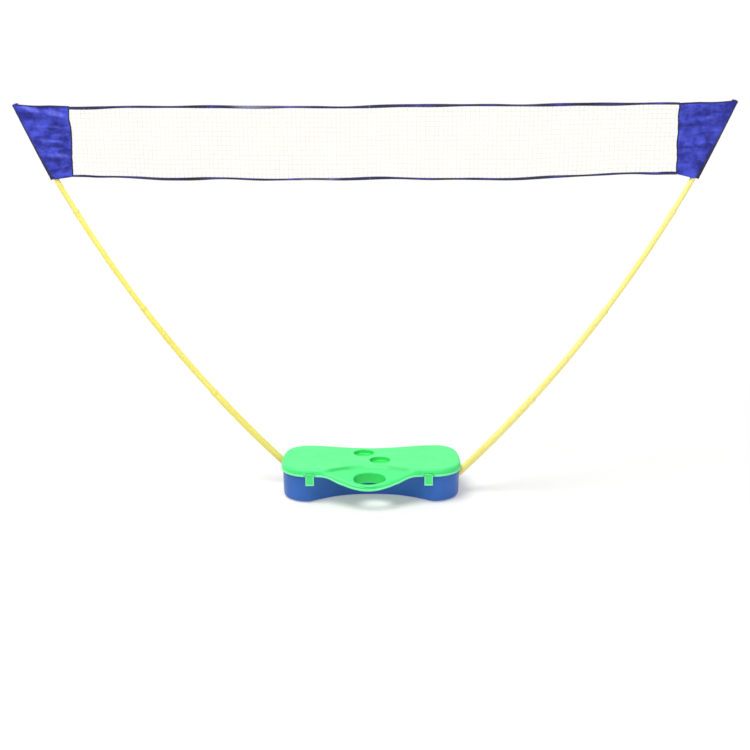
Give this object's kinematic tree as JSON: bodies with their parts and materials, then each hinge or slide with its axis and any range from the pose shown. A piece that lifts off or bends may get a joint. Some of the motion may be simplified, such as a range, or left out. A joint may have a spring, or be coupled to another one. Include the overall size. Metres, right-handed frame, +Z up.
{
  "type": "portable badminton net",
  "caption": "Free-standing badminton net: a moulded carry case with a hinged lid is the base, and bowed telescoping poles plugged into its ends hold up the net.",
  "frame": {"origin": "on the floor, under the middle of the whole part's box", "axes": "+X along the net towards the right-hand pole as seen from the handle side, +Y towards the lid hinge at the back, +Z up"},
  "size_m": [2.904, 0.4455, 1.6371],
  "materials": {
    "lid": "semi-gloss moulded",
    "tray": "semi-gloss moulded",
    "rubber": "matte",
    "steel": "satin",
    "pole_left": "gloss",
    "pole_right": "gloss",
    "collar_left": "gloss",
    "collar_right": "gloss",
    "cap": "matte",
    "panel": "woven nylon",
    "sleeve": "woven nylon",
    "tape": "woven tape",
    "netting": "knotted twine"
  },
  "bodies": {
    "base": {"base_tray": "tray", "foot_front_left": "rubber", "foot_front_right": "rubber", "foot_rear_left": "rubber", "foot_rear_right": "rubber", "pole_socket_left": "tray", "pole_socket_right": "tray", "lid_hinge_pin_left": "steel", "lid_hinge_pin_right": "steel", "pole_left_section_1": "pole_left", "pole_left_collar_1": "collar_left", "pole_right_section_1": "pole_right", "pole_right_collar_1": "collar_right"},
    "lid": {"base_lid": "lid", "latch_pin_left": "steel", "latch_pin_right": "steel"},
    "latch_left": {"latch_left": "lid"},
    "latch_right": {"latch_right": "lid"},
    "pole_right_2": {"pole_right_section_2": "pole_right", "pole_right_collar_2": "collar_right"},
    "pole_right_3": {"pole_right_section_3": "pole_right", "pole_right_collar_3": "collar_right"},
    "pole_right_4": {"pole_right_section_4": "pole_right", "pole_right_tip_cap": "cap", "pole_sleeve_right": "sleeve"},
    "net_right": {"netting_right": "netting", "top_tape_right": "tape", "bottom_tape_right": "tape", "end_panel_right": "panel"},
    "pole_left_2": {"pole_left_section_2": "pole_left", "pole_left_collar_2": "collar_left"},
    "pole_left_3": {"pole_left_section_3": "pole_left", "pole_left_collar_3": "collar_left"},
    "pole_left_4": {"pole_left_section_4": "pole_left", "pole_left_tip_cap": "cap", "pole_sleeve_left": "sleeve"},
    "net_left": {"netting_left": "netting", "top_tape_left": "tape", "bottom_tape_left": "tape", "end_panel_left": "panel"}
  },
  "joints": [
    {"name": "lid_hinge", "type": "hinge", "parent": "base", "child": "lid", "pos_m": [0, 0.217, 0.12], "axis": [-1, 0, 0], "range_deg": [0, 105]},
    {"name": "latch_left_hinge", "type": "hinge", "parent": "lid", "child": "latch_left", "pos_m": [-0.257, -0.136, 0.1255], "axis": [-1, 0, 0], "range_deg": [0, 110]},
    {"name": "latch_right_hinge", "type": "hinge", "parent": "lid", "child": "latch_right", "pos_m": [0.241, -0.136, 0.1255], "axis": [-1, 0, 0], "range_deg": [0, 110]},
    {"name": "pole_right_slide_2", "type": "hinge", "parent": "base", "child": "pole_right_2", "pos_m": [-3.07322, 0.0015, 3.59969], "axis": [0, 1, 0], "range_deg": [0, 5.1]},
    {"name": "pole_right_slide_3", "type": "hinge", "parent": "pole_right_2", "child": "pole_right_3", "pos_m": [-3.07322, 0.0015, 3.59969], "axis": [0, 1, 0], "range_deg": [0, 5.12]},
    {"name": "pole_right_slide_4", "type": "hinge", "parent": "pole_right_3", "child": "pole_right_4", "pos_m": [-3.07322, 0.0015, 3.59969], "axis": [0, 1, 0], "range_deg": [0, 1.47]},
    {"name": "net_right_level", "type": "hinge", "parent": "pole_right_4", "child": "net_right", "pos_m": [1.37016, 0.0015, 1.47554], "axis": [0, -1, 0], "range_deg": [0, 11.7], "deforming": ["netting_right", "top_tape_right", "bottom_tape_right", "end_panel_right"]},
    {"name": "pole_left_slide_2", "type": "hinge", "parent": "base", "child": "pole_left_2", "pos_m": [3.07322, 0.1255, 3.59969], "axis": [0, -1, 0], "range_deg": [0, 5.12]},
    {"name": "pole_left_slide_3", "type": "hinge", "parent": "pole_left_2", "child": "pole_left_3", "pos_m": [3.07322, 0.1255, 3.59969], "axis": [0, -1, 0], "range_deg": [0, 5.12]},
    {"name": "pole_left_slide_4", "type": "hinge", "parent": "pole_left_3", "child": "pole_left_4", "pos_m": [3.07322, 0.1255, 3.59969], "axis": [0, -1, 0], "range_deg": [0, 1.47]},
    {"name": "net_left_level", "type": "hinge", "parent": "pole_left_4", "child": "net_left", "pos_m": [-1.37016, 0.1255, 1.47554], "axis": [0, 1, 0], "range_deg": [0, 11.7], "deforming": ["netting_left", "top_tape_left", "bottom_tape_left", "end_panel_left"]}
  ],
  "couplings": [
    {"joint": "pole_right_slide_3", "follows": "pole_right_slide_2", "ratio": 1},
    {"joint": "pole_right_slide_4", "follows": "pole_right_slide_2", "ratio": 0.28431},
    {"joint": "net_right_level", "follows": "pole_right_slide_2", "ratio": 2.2843},
    {"joint": "pole_left_slide_2", "follows": "pole_right_slide_2", "ratio": 1},
    {"joint": "pole_left_slide_3", "follows": "pole_right_slide_2", "ratio": 1},
    {"joint": "pole_left_slide_4", "follows": "pole_right_slide_2", "ratio": 0.28431},
    {"joint": "net_left_level", "follows": "pole_right_slide_2", "ratio": 2.2843}
  ]
}
